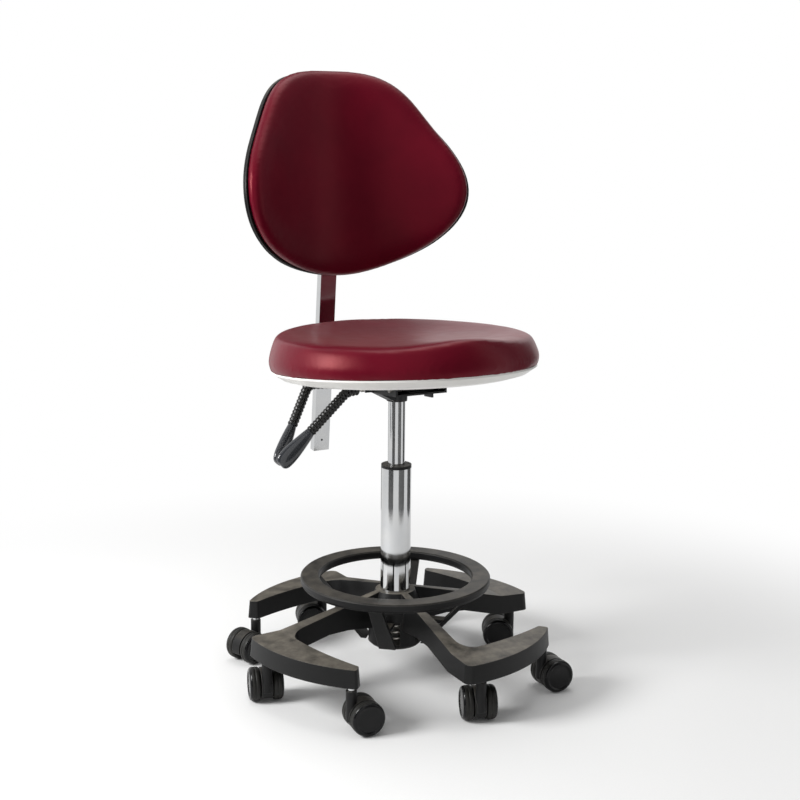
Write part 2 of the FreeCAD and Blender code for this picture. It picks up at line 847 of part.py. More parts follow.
def seat_pan():
    body = new_body("seat_pan")
    floor = "seat_z - pan_depth"
    turned(body, [
        ("0", floor),
        ("pan_floor_radius", floor),
        ("pan_heel_radius", "seat_z - pan_heel"),
        ("seat_edge", "seat_z - pan_wall"),
        ("seat_edge", "seat_z"),
        ("pan_heel_radius - pan_wall", "seat_z - pan_heel + pan_wall"),
        ("pan_floor_radius", floor + " + pan_wall"),
        ("0", floor + " + pan_wall"),
    ])
    holes = new_sketch(body, "XY_Plane", floor + " - 1")
    for x in ("-bolt_x", "bolt_x"):
        for y in ("-bolt_y", "bolt_y"):
            add_circle(holes, x, y, "bolt_radius + running_fit")
    pocket(body, holes, "pan_wall + 2", back=True, name="BoltHoles")
    keep(leaned(body, point("0", "seat_y", "0")))


def seat_board():
    body = new_body("seat_board")
    disc = new_sketch(body, "XY_Plane", "seat_z - pan_depth + pan_wall")
    add_circle(disc, "0", "0", "pan_floor_radius - swing_gap")
    for x in ("-bolt_x", "bolt_x"):
        for y in ("-bolt_y", "bolt_y"):
            add_circle(disc, x, y, "bolt_radius + running_fit")
    pad(body, disc, "board_thickness")
    keep(leaned(body, point("0", "seat_y", "0")))


def seat_bolts():
    bolts = []
    top = "seat_z - pan_depth - plate_wall"
    for side, x in (("right", "-bolt_x"), ("left", "bolt_x")):
        for end, y in (("front", "seat_y - bolt_y"), ("rear", "seat_y + bolt_y")):
            long = "plate_wall + pan_wall + bolt_grip + bolt_head_height / 2"
            shank = cylinder("shank_%s_%s" % (side, end), "bolt_radius", long,
                             point(x, y, top + " - bolt_head_height / 2"))
            head = hexagon("head_%s_%s" % (side, end), "bolt_head", "bolt_head_height",
                           point(x, y, top + " - bolt_head_height"), V(0, 0, 1))
            bolts.append(leaned(fused("bolt_%s_%s" % (side, end), [shank, head])))
    keep(grouped("seat_bolts", bolts))


def rim(turn):
    """Height of the seat's rim above its edge, by the angle from the front."""
    rear = value("rear_rise") * ((1 - math.cos(turn)) / 2) ** 1.5
    away = math.degrees(math.atan2(math.sin(turn), math.cos(turn)))
    return value("rim_height") + rear + value("pommel_rise") * math.exp(-(away / value("pommel_turn")) ** 2)


def seat_cushion():
    edge = value("seat_edge")
    wide = value("seat_radius")
    rim_radius = value("rim_radius")
    dish = value("dish_height")
    under = value("board_thickness + pan_wall - pan_depth + seat_gap")
    inner = value("pan_floor_radius + 6")

    def top(radius, turn):
        return dish + (rim(turn) - dish) * (radius / rim_radius) ** 2.5

    rings = [
        lambda turn: (6, under + 1),
        lambda turn: (inner, under),
        lambda turn: (edge, value("seat_gap")),
        lambda turn: (wide, value("seat_bulge")),
        lambda turn: (wide - 2, 0.5 * rim(turn)),
        lambda turn: (wide - 9, rim(turn) - 9),
        lambda turn: (rim_radius + 6, rim(turn) - 1),
        lambda turn: (0.85 * rim_radius, top(0.85 * rim_radius, turn)),
        lambda turn: (0.45 * rim_radius, top(0.45 * rim_radius, turn)),
        lambda turn: (6, dish),
    ]
    layers = []
    for ring in rings:
        spots = []
        for k in range(SIDES):
            turn = 2 * math.pi / SIDES * k
            radius, height = ring(turn)
            y = value("seat_y") - radius * math.cos(turn)
            spots.append(V(radius * math.sin(turn), y, value("seat_z") + height))
        layers.append(spots)
    keep(solid("seat_cushion", skin(layers), SEAT_LEAN))


# Levers.
def lever_line(pivot, bend, tip):
    """The rod's middle line: where it is and which way it runs, at a distance from the end of its bend."""
    way = (tip - bend).normalize()
    arm = (bend - pivot).normalize()
    lean = math.acos(max(-1, min(1, arm.dot(way))))
    radius = value("lever_bend")
    back = radius * math.tan(lean / 2)
    middle = bend + (way - arm).normalize() * (radius / math.cos(lean / 2))
    out = (bend + way * back - middle).normalize()

    def at(far):
        if far >= 0:
            return bend + way * (back + far), way
        turn = -far / radius
        if turn <= lean:
            spot = middle + (out * math.cos(turn) - way * math.sin(turn)) * radius
            return spot, way * math.cos(turn) + out * math.sin(turn)
        return bend - arm * (back + (turn - lean) * radius), arm

    return at, -lean * radius, back


def lever(name, pivot, bend, tip):
    at, bend_start, back = lever_line(pivot, bend, tip)
    way = at(0)[1]
    arm = at(bend_start)[1]
    start = pivot + arm * (value("lever_eye") * 0.5)
    paddle_start = (tip - bend).Length - back - value("paddle_length")
    path = Part.Wire([
        Part.makeLine(start, at(bend_start)[0]),
        Part.Arc(at(bend_start)[0], at(bend_start / 2)[0], at(0)[0]).toShape(),
        Part.makeLine(at(0)[0], at(paddle_start + value("paddle_grip"))[0]),
    ])
    rod = path.makePipeShell([Part.Wire([Part.makeCircle(value("lever_rod"), start, arm)])], True, False)
    half = value("lever_eye_half")
    eye = Part.makeCylinder(value("lever_eye"), 2 * half, pivot - LEAN_Y * half, LEAN_Y)
    pin = value("lever_pin_radius + running_fit")
    hole = Part.makeCylinder(pin, 4 * half, pivot - LEAN_Y * 2 * half, LEAN_Y)
    keep(solid(name + "_rod", rod.fuse(eye).cut(hole).removeSplitter()))

    sides = int(value("sleeve_sides"))
    ribs = int(value("sleeve_ribs"))
    first = bend_start - (at(bend_start)[0] - pivot).Length + value("sleeve_start")
    last = paddle_start - value("seat_gap")
    pitch = (last - first) / ribs
    bore = value("lever_rod + running_fit + sleeve_slack") / math.cos(math.pi / sides)
    profile = [(first, value("sleeve_root"))]
    for rib in range(ribs):
        profile.append((first + pitch * (rib + 0.5), value("sleeve_crest")))
        profile.append((first + pitch * (rib + 1), value("sleeve_root")))
    profile += [(last, bore), (0, bore)]
    profile += [(bend_start * part / 6, bore) for part in range(1, 7)]
    profile.append((first, bore))
    level = way.cross(arm).normalize()
    rings = []
    for far, radius in profile:
        spot, along = at(far)
        upright = along.cross(level)
        outs = [level * math.cos(a) + upright * math.sin(a) for a in steps_round(sides)]
        rings.append([spot + out * radius for out in outs])
    keep(solid(name + "_sleeve", skin(rings, True)))

    far = value("paddle_length")
    broad = value("paddle_half")
    thick = value("paddle_thickness") / 2
    forms = (
        (0, 0.5, 0.75), (0.25, 0.72, 0.95), (0.55, 0.95, 1),
        (0.8, 1, 0.95), (0.95, 0.86, 0.72), (1, 0.55, 0.4),
    )
    sections = []
    for share, wide, high in forms:
        w = broad * wide
        h = thick * high
        sections.append([V(far * share, h * math.cos(a), w * math.sin(a)) for a in steps_round(20)])
    socket = Part.makeCylinder(bore, value("paddle_grip + 1 + seat_gap"), V(-1, 0, 0), V(1, 0, 0))
    across = (LEAN_Z - way * way.dot(LEAN_Z)).normalize()
    turn = FreeCAD.Rotation(way, across.cross(way), across, "XZY")
    keep(solid(name + "_paddle", skin(sections).cut(socket), FreeCAD.Placement(at(paddle_start)[0], turn)))


def levers():
    pivot = leaned_point("lever_pivot_x", "seat_lever_y", "lever_pivot_z")
    bend = point("seat_lever_bend_x", "seat_lever_tip_y", "seat_lever_bend_z")
    lever("seat_lever", pivot, bend, point("seat_lever_tip_x", "seat_lever_tip_y", "seat_lever_tip_z"))
    pivot = leaned_point("lever_pivot_x", "back_lever_y", "lever_pivot_z")
    bend = point("back_lever_bend_x", "back_lever_bend_y", "back_lever_bend_z")
    lever("back_lever", pivot, bend, point("back_lever_tip_x", "back_lever_tip_y", "back_lever_tip_z"))


# Back bar, bracket and backrest.
BAR = FreeCAD.Placement(
    point("0", "bar_foot_y", "bar_foot_z"), FreeCAD.Rotation(V(1, 0, 0), value("bar_lean")))
BACK = FreeCAD.Placement(point("0", "back_y", "back_z"), FreeCAD.Rotation(V(1, 0, 0), -value("back_lean")))
# The bar's two straights meet at this distance from its foot.
MOUNT_FACE = "(shell_back - mount_recess)"
UPPER_Y = "(back_y + (%s + mount_wall + bar_depth / 2) / cos(back_lean))" % MOUNT_FACE
BAR_CORNER = ("((bar_foot_y - %s) * cos(back_lean) - (bar_foot_z - back_z) * sin(back_lean))"
              " / sin(bar_lean + back_lean)" % UPPER_Y)


def back_bar():
    body = new_body("bar_tube")
    section = new_sketch(body, "XY_Plane")
    add_outline(section, block_outline("-bar_width / 2", "-bar_depth / 2", "bar_width / 2", "bar_depth / 2"))
    add_outline(section, block_outline("bar_wall - bar_width / 2", "bar_wall - bar_depth / 2",
                                       "bar_width / 2 - bar_wall", "bar_depth / 2 - bar_wall"))
    route = new_sketch(body, "YZ_Plane")
    straight = "(%s - bar_bend * tan((bar_lean + back_lean) / 2))" % BAR_CORNER
    bent = "(bar_lean + back_lean)"
    spots = [
        ("0", "0"),
        ("0", straight),
        ("bar_bend * (1 - cos(%s))" % bent, "%s + bar_bend * sin(%s)" % (straight, bent)),
        ("bar_bend * (1 - cos(%s)) + bar_upper * sin(%s)" % (bent, bent),
         "%s + bar_bend * sin(%s) + bar_upper * cos(%s)" % (straight, bent, bent)),
    ]
    ends = [point(y, z, "0") for y, z in spots]
    half = math.radians(value(bent)) / 2
    reach = value("bar_bend")
    top = V(reach * (1 - math.cos(half)), value(straight) + reach * math.sin(half), 0)
    route.addGeometry(Part.LineSegment(ends[0], ends[1]))
    route.addGeometry(Part.Arc(ends[1], top, ends[2]))
    route.addGeometry(Part.LineSegment(ends[2], ends[3]))
    route.addConstraint(Sketcher.Constraint("Coincident", 0, 2, 1, 2))
    route.addConstraint(Sketcher.Constraint("Coincident", 1, 1, 2, 1))
    fix_point(route, 0, 1, *spots[0])
    fix_point(route, 0, 2, *spots[1])
    fix_point(route, 2, 1, *spots[2])
    fix_point(route, 2, 2, *spots[3])
    row = route.addConstraint(Sketcher.Constraint("Radius", 1, reach))
    bind(route, "Constraints[%d]" % row, "bar_bend")
    doc.recompute()
    pipe = feature(body, "AdditivePipe", section, "Tube")
    pipe.Spine = (route, ["Edge1", "Edge2", "Edge3"])
    route.Visibility = False
    doc.recompute()
    body.Placement = BAR
    plate = doc.addObject("Part::Box", "mount_plate")
    bind(plate, "Length", "2 * mount_half_width")
    bind(plate, "Width", "mount_wall")
    bind(plate, "Height", "2 * mount_half_height")
    plate.Placement = BACK.multiply(
        FreeCAD.Placement(point("-mount_half_width", MOUNT_FACE, "-mount_half_height"), FreeCAD.Rotation()))
    outside = point("0", "-bar_depth / 2 - 5", "bar_hole_height")
    hole = cylinder("bar_hole", "bar_hole_radius", "bar_depth / 2 + 5", outside,
                    V(0, 1, 0))
    hole.Placement = BAR.multiply(hole.Placement)
    keep(cut("back_bar", fused("bar_and_plate", [body, plate]), hole))


def back_bracket():
    collar = new_body("collar")
    ring = new_sketch(collar, "XY_Plane", "collar_start")
    wide = "bar_width / 2 + seat_gap"
    deep = "bar_depth / 2 + seat_gap"
    add_outline(ring, block_outline("-(%s + collar_wall)" % wide, "-(%s + collar_wall)" % deep,
                                    "%s + collar_wall" % wide, "%s + collar_wall" % deep))
    add_outline(ring, block_outline("-(%s)" % wide, "-(%s)" % deep, wide, deep))
    pad(collar, ring, "collar_length", name="Collar")
    collar.Placement = BAR
    heart = BAR.multVec(point(
        "0", "-bar_depth / 2 - seat_gap - collar_wall / 2", "collar_start + collar_length / 2"))
    pivot = leaned_point("0", "back_pivot_y", "back_pivot_z")

    tongue = new_body("tongue")
    flat = new_sketch(tongue, "XY_Plane", "tongue_bottom")
    add_outline(flat, [
        ("-tongue_half", "0"),
        ("tongue_half", "0"),
        ("tongue_end_half", "%.6f" % (heart.y - pivot.y)),
        ("-tongue_end_half", "%.6f" % (heart.y - pivot.y)),
    ])
    pad(tongue, flat, "tongue_thickness", name="Tongue")
    tongue.Placement = FreeCAD.Placement(V(0, pivot.y, 0), FreeCAD.Rotation())

    block = doc.addObject("Part::Box", "clamp_block")
    bind(block, "Length", "2 * lug_block_half")
    bind(block, "Width", "lug_block_depth")
    bind(block, "Height", "lug_block_height")
    block.Placement = FreeCAD.Placement(
        V(-value("lug_block_half"), heart.y - value("lug_block_depth"),
          heart.z - value("lug_block_height / 2")),
        FreeCAD.Rotation())
    half = "(tray_half - tray_wall - swing_gap)"
    barrel = cylinder("barrel", "barrel_radius", "2 * " + half, V(-value(half), pivot.y, pivot.z), V(1, 0, 0))
    whole = fused("bracket_whole", [collar, tongue, block, barrel])
    bolt_at = V(0, heart.y - value("lug_block_depth") * 0.6, heart.z)
    pin_hole = cylinder("barrel_hole", "pivot_radius + running_fit", "3 * tray_half",
                        V(-1.5 * value("tray_half"), pivot.y, pivot.z), V(1, 0, 0))
    bolt_hole = cylinder("clamp_hole", "clamp_bolt_radius + running_fit", "4 * lug_block_half",
                         V(-2 * value("lug_block_half"), bolt_at.y, bolt_at.z), V(1, 0, 0))
    keep(cut("back_bracket", whole, fused("bracket_holes", [pin_hole, bolt_hole])))
    shank = cylinder("clamp_shank", "clamp_bolt_radius", "2 * lug_block_half + 3",
                     V(-value("lug_block_half"), bolt_at.y, bolt_at.z), V(1, 0, 0))
    head = hexagon("clamp_head_solid", "clamp_head", "clamp_head_height",
                   V(-value("lug_block_half + clamp_head_height"), bolt_at.y, bolt_at.z), V(1, 0, 0))
    keep(fused("back_clamp_bolt", [shank, head]))


def back_spot(share, depth, turn):
    """A place on the backrest: share of the outline, depth to the front, angle from the top."""
    waves = ("back_mean", "back_drop", "back_oval", "back_three", "back_four", "back_five")
    reach = share * sum(value(name) * math.cos(k * turn) for k, name in enumerate(waves))
    x = reach * math.sin(turn)
    if share < 0.1:
        return V(x, -depth, reach * math.cos(turn))
    slope = 2 * value("back_hollow") * x
    stretch = math.sqrt(1 + slope * slope)
    y = -(value("back_hollow") * x * x + depth / stretch)
    return V(x - depth * slope / stretch, y, reach * math.cos(turn))


def back_skin(rings):
    return skin([[back_spot(share, depth, turn) for turn in steps_round(SIDES)] for share, depth in rings])


def backrest():
    front = value("pad_front")
    back = -value("pad_back")
    inner = (0.04, 0.2, 0.35, 0.5, 0.62, 0.73, 0.82, 0.9)
    crown = ((0.85, 4), (0.76, 3), (0.65, 2), (0.52, 1.2), (0.38, 0.6), (0.2, 0.2), (0.04, 0))
    rings = [(share, back) for share in inner]
    rings += [(0.965, back + 1.5), (0.995, back + 8), (1, back + 14), (0.985, back + 21), (0.94, front - 7)]
    rings += [(share, front - drop) for share, drop in crown]
    keep(solid("back_pad", back_skin(rings), BACK))
    seat = back - value("shell_gap")
    rear = -value("shell_back")
    lip = 1 + value("shell_lip") / value("back_mean")
    rings = [(share, seat) for share in inner]
    rings += [(lip - 0.008, seat - 0.7), (lip, seat - 3.5), (lip - 0.015, rear + 6)]
    rings += [(share, rear + drop) for share, drop in crown]
    wide = value("2 * mount_half_width + 2 * seat_gap")
    tall = value("2 * mount_half_height + 2 * seat_gap")
    recess = Part.makeBox(wide, 20, tall,
                          point("-mount_half_width - seat_gap", MOUNT_FACE, "-mount_half_height - seat_gap"))
    keep(solid("back_shell", back_skin(rings).cut(recess), BACK))


# Casters.
CASTERS = [
    ("right", 180, "elbow", 74), ("right", 180, "tip", -6),
    ("front", 270, "elbow", 69), ("front", 270, "tip", -5),
    ("left", 0, "elbow", 151), ("left", 0, "tip", 121),
    ("rear", 90, "elbow", 161), ("rear", 90, "tip", 198),
]


def caster(name, place):
    hood = new_body(name + "_hood")
    edge = "(wheel_radius - hood_margin)"
    low = "sqrt(%s^2 - (wheel_radius - hood_cut)^2)" % edge
    side = new_sketch(hood, "XZ_Plane")
    add_outline(side, [
        ("trail - %s" % low, "hood_cut"),
        ("trail + axle_radius + 2", "hood_cut"),
        ("trail + %s * cos(hood_open)" % edge, "wheel_radius - %s * sin(hood_open)" % edge, edge),
        ("trail", "wheel_radius + %s" % edge, edge),
    ])
    pad(hood, side, "2 * hood_half", middle=True, name="Disc")
    ring = new_sketch(hood, "XY_Plane", "neck_foot")
    add_circle(ring, "0", "0", "neck_radius")
    pad(hood, ring, "neck_top - neck_foot", name="Neck")
    socket = new_sketch(hood, "XY_Plane", "neck_top")
    add_circle(socket, "0", "0", "stem_radius + running_fit")
    pocket(hood, socket, "stem_grip", name="StemBore")
    bore = new_sketch(hood, "XZ_Plane")
    add_circle(bore, "trail", "wheel_radius", "axle_radius + running_fit")
    pocket(hood, bore, "4 * hood_half", middle=True, name="AxleBore")
    hood.Placement = place

    stem = cylinder(name + "_stem", "stem_radius", "arm_foot - neck_top + stem_grip + stem_depth - seat_gap",
                    point("0", "0", "neck_top - stem_grip"))
    stem.Placement = place.multiply(stem.Placement)

    wheels = new_body(name + "_wheels")
    near = "hood_half + wheel_gap"
    far = "hood_half + wheel_gap + wheel_width"
    turned(wheels, [
        ("0", "-(%s)" % far),
        ("wheel_radius - wheel_shoulder", "-(%s)" % far),
        ("wheel_radius", "wheel_shoulder - (%s)" % far),
        ("wheel_radius", "-(%s)" % near),
        ("axle_radius", "-(%s)" % near),
        ("axle_radius", near),
        ("wheel_radius", near),
        ("wheel_radius", "%s - wheel_shoulder" % far),
        ("wheel_radius - wheel_shoulder", far),
        ("0", far),
    ], name="Wheels")
    wheels.Placement = place.multiply(
        FreeCAD.Placement(point("trail", "0", "wheel_radius"), FreeCAD.Rotation(V(0, 0, 1), V(0, 1, 0))))
    keep(hood, stem, wheels)


def casters():
    for arm, arm_turn, spot, heading in CASTERS:
        turn = math.radians(arm_turn + value(spot + "_stem_turn"))
        reach = value(spot + "_stem_reach")
        at = V(reach * math.cos(turn), reach * math.sin(turn), 0)
        caster("%s_%s_caster" % (arm, spot), FreeCAD.Placement(at, FreeCAD.Rotation(V(0, 0, 1), heading)))


base_frame()
hub_cover()
column()
foot_ring()
return_spring()
tilt_housing()
pivot_pins()
seat_plate()
seat_pan()
seat_board()
seat_cushion()
seat_bolts()
back_bracket()
back_bar()
backrest()
levers()
casters()
doc.recompute()

faults = []
for item in doc.Objects:
    if "Invalid" in item.State or "Error" in item.State:
        faults.append("%s: %s" % (item.Label, item.State))
for item in NODES:
    if item.Shape.isNull() or not item.Shape.isValid():
        faults.append("%s: shape" % item.Label)
if faults:
    raise RuntimeError("; ".join(faults))

# The row's origin is the middle of the whole stool's box, on the floor.
box = FreeCAD.BoundBox()
for item in NODES:
    box.add(item.Shape.optimalBoundingBox())
home = V(-box.Center.x, -box.Center.y, -box.ZMin)

os.makedirs("parts", exist_ok=True)
for item in NODES:
    item.Shape.translated(home).exportStep(os.path.join("parts", item.Label + ".step"))
print("%d nodes, box %.1f x %.1f x %.1f mm" % (len(NODES), box.XLength, box.YLength, box.ZLength))
for name, spot in (
    ("column", V(0, 0, 0)),
    ("seat pivot", leaned_point("0", "seat_pivot_y", "seat_pivot_z")),
    ("back pivot", leaned_point("0", "back_pivot_y", "back_pivot_z")),
    ("seat lever pivot", leaned_point("lever_pivot_x", "seat_lever_y", "lever_pivot_z")),
    ("back lever pivot", leaned_point("lever_pivot_x", "back_lever_y", "lever_pivot_z")),
):
    spot = spot + home
    print("%s: %.4f %.4f %.4f" % (name, spot.x, spot.y, spot.z))
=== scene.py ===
# %% [markdown]
# # A saddle-fronted rolling stool
# The stool is built elsewhere as solids: a hooked four-arm base on eight twin casters, a gas column,
# a tilt mechanism with two levers, a seat and a backrest. This lesson dresses those solids. Most of the
# hard pieces keep their shape and get a finish. The pads, the back shell, the rubber sleeves, the lever
# paddles, the return spring and the wheels are made again here, in the same places, with the finer form
# that the eye expects.

# %% Load the solids as a fixed frame
import json
import math

import bmesh
import bpy
import numpy as np
from mathutils import Matrix, Vector


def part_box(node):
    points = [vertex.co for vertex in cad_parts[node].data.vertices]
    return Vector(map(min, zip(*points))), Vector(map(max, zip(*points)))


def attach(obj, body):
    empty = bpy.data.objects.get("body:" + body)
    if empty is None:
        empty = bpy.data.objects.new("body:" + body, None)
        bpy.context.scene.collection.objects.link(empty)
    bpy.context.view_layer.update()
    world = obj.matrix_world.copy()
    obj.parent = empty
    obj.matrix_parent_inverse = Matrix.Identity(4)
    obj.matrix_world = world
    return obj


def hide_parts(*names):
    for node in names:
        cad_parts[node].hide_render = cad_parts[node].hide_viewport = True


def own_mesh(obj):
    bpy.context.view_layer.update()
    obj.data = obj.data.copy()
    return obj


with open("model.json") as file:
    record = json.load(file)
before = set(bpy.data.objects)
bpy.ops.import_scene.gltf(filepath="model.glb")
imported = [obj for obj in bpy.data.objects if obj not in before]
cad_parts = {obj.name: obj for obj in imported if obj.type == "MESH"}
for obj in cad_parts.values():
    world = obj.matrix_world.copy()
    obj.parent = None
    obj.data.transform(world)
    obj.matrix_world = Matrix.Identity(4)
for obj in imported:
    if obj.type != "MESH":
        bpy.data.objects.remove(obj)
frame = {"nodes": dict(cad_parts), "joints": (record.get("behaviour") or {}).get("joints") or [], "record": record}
solids = frame["nodes"]
slot_of = {part["node"]: part["material_slot"] for part in frame["record"]["subparts"]}
body_of = {n: b for b, members in frame["record"]["behaviour"]["bodies"].items() for n in members}
joint_of = {joint["name"]: joint for joint in frame["joints"]}
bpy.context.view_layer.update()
scene = bpy.context.scene
MM = 0.001

# %% [markdown]
# ## Small tools for finishes
# Colours are given as sRGB hex values, and Blender's shaders work in linear light, so one
# function converts them. Another adds a node with its settings, and feeds its inputs from sockets or
# with plain values. Every finish below is written with these, so a recipe reads from top to bottom like
# a list of layers. Patterns are sized in millimetres.

# %% Colour and node tools
def linear(hex_colour):
    parts = [int(hex_colour[i:i + 2], 16) / 255 for i in (1, 3, 5)]
    return [c / 12.92 if c <= 0.04045 else ((c + 0.055) / 1.055) ** 2.4 for c in parts] + [1.0]


def feed(tree, node, inputs):
    """Feeds inputs of a node, each from another node's socket or with a plain value."""
    for name, given in inputs.items():
        if isinstance(given, bpy.types.NodeSocket):
            tree.links.new(given, node.inputs[name])
        else:
            node.inputs[name].default_value = given


def add(tree, kind, settings=None, inputs=None):
    """A new node of that kind. Settings are its own attributes, and its inputs are fed."""
    new = tree.nodes.new("ShaderNode" + kind)
    for name, setting in (settings or {}).items():
        setattr(new, name, setting)
    feed(tree, new, inputs or {})
    return new


def begin(name):
    """A new material: its tree, its one shader, and the coordinates of the object in metres."""
    material = bpy.data.materials.new(name)
    material.use_nodes = True
    tree = material.node_tree
    shader = tree.nodes["Principled BSDF"]
    where = add(tree, "TexCoord").outputs["Object"]
    return material, tree, shader, where


def per_mm(size):
    """The scale of a texture whose cells are that many millimetres wide."""
    return 1 / (size * MM)


# A Mix node repeats the names of its sockets, so those that mix colours are picked by number.
COLOURS = {"data_type": "RGBA"}
FACTOR, FIRST, SECOND = 0, 6, 7
MIXED = 2

# %% [markdown]
# ## Maroon upholstery leather
# The seat and back are covered with polyurethane-coated cloth, embossed with a fine pebble grain and
# pulled tight over foam. The coat gives a satin sheen that turns pale at a low angle, over a deep red
# that wanders a little in tone. The pebble is about 1.5 mm wide, too fine to show at this distance, so
# it is drawn nearly twice as coarse. The coat itself is tinted, so its highlights are red, not white.

# %% Coated leather
def coated_leather():
    material, tree, shader, where = begin("pu_leather_embossed")
    patches = add(tree, "TexNoise", None, {"Vector": where, "Scale": per_mm(70), "Detail": 4.0})
    tone = add(tree, "Mix", COLOURS, {
        FACTOR: patches.outputs["Fac"], FIRST: linear("#4C0517"), SECOND: linear("#650A1F")})
    pebble = add(tree, "TexVoronoi", {"feature": "SMOOTH_F1"}, {"Vector": where, "Scale": per_mm(2.6)})
    swell = add(tree, "TexNoise", None, {"Vector": where, "Scale": per_mm(24), "Detail": 2.0})
    broad = add(tree, "Bump", None, {"Height": swell.outputs["Fac"], "Strength": 0.12, "Distance": 2 * MM})
    fine = add(tree, "Bump", {"invert": True}, {
        "Height": pebble.outputs["Distance"], "Strength": 0.16, "Distance": 0.3 * MM,
        "Normal": broad.outputs["Normal"]})
    rough = add(tree, "MapRange", None, {"Value": swell.outputs["Fac"], "To Min": 0.3, "To Max": 0.39})
    feed(tree, shader, {
        "Base Color": tone.outputs[MIXED], "Roughness": rough.outputs[0], "Normal": fine.outputs["Normal"],
        "Specular IOR Level": 0.38, "Specular Tint": linear("#E07A78"),
        "Sheen Weight": 0.1, "Sheen Roughness": 0.3, "Sheen Tint": linear("#D88878")})
    return material


leather = coated_leather()
print("finish", leather.name)

# %% [markdown]
# ## Moulded black nylon
# The base, the foot ring, the caster hoods and the back shell are glass-filled nylon, moulded against
# a spark-eroded tool: a satin black with a fine grit, drawn here about a millimetre wide so that it
# shows. Feet and cleaning wear it. Faces that look up are painted a warm grey, partly dust and scuffs
# and partly a painted highlight, the sheen of light on the tops. The edges are painted paler, partly
# rubbing wear and partly painted edge highlight, so the finish reads the direction of the surface and
# its edges.

# %% Moulded nylon
def moulded_nylon(name, dust_and_sheen_low, dust_and_sheen_high):
    material, tree, shader, where = begin(name)
    surface = add(tree, "NewGeometry")
    up = add(tree, "SeparateXYZ", None, {"Vector": surface.outputs["Normal"]})
    # Faces that look up are painted a warm grey, partly dust and partly painted highlight.
    flat = add(tree, "MapRange", {"interpolation_type": "SMOOTHSTEP"}, {
        "Value": up.outputs["Z"], "From Min": 0.55, "From Max": 0.98, "To Min": 0.0, "To Max": 1.0})
    scuffs = add(tree, "TexNoise", None, {
        "Vector": where, "Scale": per_mm(26), "Detail": 6.0, "Roughness": 0.65})
    patchy = add(tree, "MapRange", None, {
        "Value": scuffs.outputs["Fac"], "From Min": 0.32, "From Max": 0.66,
        "To Min": dust_and_sheen_low, "To Max": dust_and_sheen_high})
    dust_and_sheen_share = add(tree, "Math", {"operation": "MULTIPLY"}, {0: flat.outputs[0], 1: patchy.outputs[0]})
    rounded = add(tree, "Bevel", None, {"Radius": 1.6 * MM})
    turned = add(tree, "VectorMath", {"operation": "DOT_PRODUCT"}, {
        0: rounded.outputs["Normal"], 1: surface.outputs["Normal"]})
    # Edges are painted paler, partly rubbing wear and partly painted edge highlight.
    edge = add(tree, "MapRange", None, {
        "Value": turned.outputs["Value"], "From Min": 0.995, "From Max": 0.86,
        "To Min": 0.0, "To Max": 0.45})
    black = add(tree, "Mix", COLOURS, {
        FACTOR: scuffs.outputs["Fac"], FIRST: linear("#0E0E0F"), SECOND: linear("#191919")})
    dust_and_sheen = add(tree, "Mix", COLOURS, {
        FACTOR: dust_and_sheen_share.outputs[0], FIRST: black.outputs[MIXED], SECOND: linear("#8F887C")})
    worn_and_edge_lit = add(tree, "Mix", COLOURS, {
        FACTOR: edge.outputs[0], FIRST: dust_and_sheen.outputs[MIXED], SECOND: linear("#6A6865")})
    grit = add(tree, "TexNoise", None, {"Vector": where, "Scale": per_mm(1.4), "Detail": 2.0})
    bump = add(tree, "Bump", None, {
        "Height": grit.outputs["Fac"], "Strength": 0.2, "Distance": 0.15 * MM,
        "Normal": rounded.outputs["Normal"]})
    rough = add(tree, "MapRange", None, {"Value": scuffs.outputs["Fac"], "To Min": 0.36, "To Max": 0.52})
    feed(tree, shader, {
        "Base Color": worn_and_edge_lit.outputs[MIXED], "Roughness": rough.outputs[0],
        "Normal": bump.outputs["Normal"], "Specular IOR Level": 0.22})
    return material


nylon = moulded_nylon("nylon_spark_texture", dust_and_sheen_low=0.05, dust_and_sheen_high=0.3)
# A second copy with more painted warm grey on upward faces: more dust and a stronger painted highlight.
trodden_sheened_nylon = moulded_nylon("nylon_trodden_sheened", dust_and_sheen_low=0.15, dust_and_sheen_high=0.62)
print("finishes", nylon.name, trodden_sheened_nylon.name)

# %% [markdown]
# ## Chrome, zinc and powder coat
# Three metals show. The column, the lift rod and the back bar are chromed tube: chromium returns a
# little over half of the light, so it looks grey beside white paper. Bolts, pins and the spring are
# zinc-plated steel, duller and a touch warm. The mechanism is pressed steel under black powder coat,
# which flows into a fine orange peel as it cures.

# %% Chrome plate
def chrome_plate():
    material, tree, shader, where = begin("chrome_plate")
    haze = add(tree, "TexNoise", None, {"Vector": where, "Scale": per_mm(18), "Detail": 5.0})
    rough = add(tree, "MapRange", None, {"Value": haze.outputs["Fac"], "To Min": 0.04, "To Max": 0.13})
    tint = add(tree, "Mix", COLOURS, {
        FACTOR: haze.outputs["Fac"], FIRST: linear("#BEC0C3"), SECOND: linear("#CDCDCC")})
    feed(tree, shader, {
        "Base Color": tint.outputs[MIXED], "Roughness": rough.outputs[0], "Metallic": 1.0})
    return material


# %% Zinc plate
def zinc_plate():
    material, tree, shader, where = begin("zinc_plated_steel")
    mottle = add(tree, "TexVoronoi", None, {"Vector": where, "Scale": per_mm(3)})
    rough = add(tree, "MapRange", None, {
        "Value": mottle.outputs["Distance"], "To Min": 0.24, "To Max": 0.42})
    tint = add(tree, "Mix", COLOURS, {
        FACTOR: mottle.outputs["Distance"], FIRST: linear("#B4B1A9"), SECOND: linear("#D2CFC8")})
    feed(tree, shader, {
        "Base Color": tint.outputs[MIXED], "Roughness": rough.outputs[0], "Metallic": 1.0})
    return material


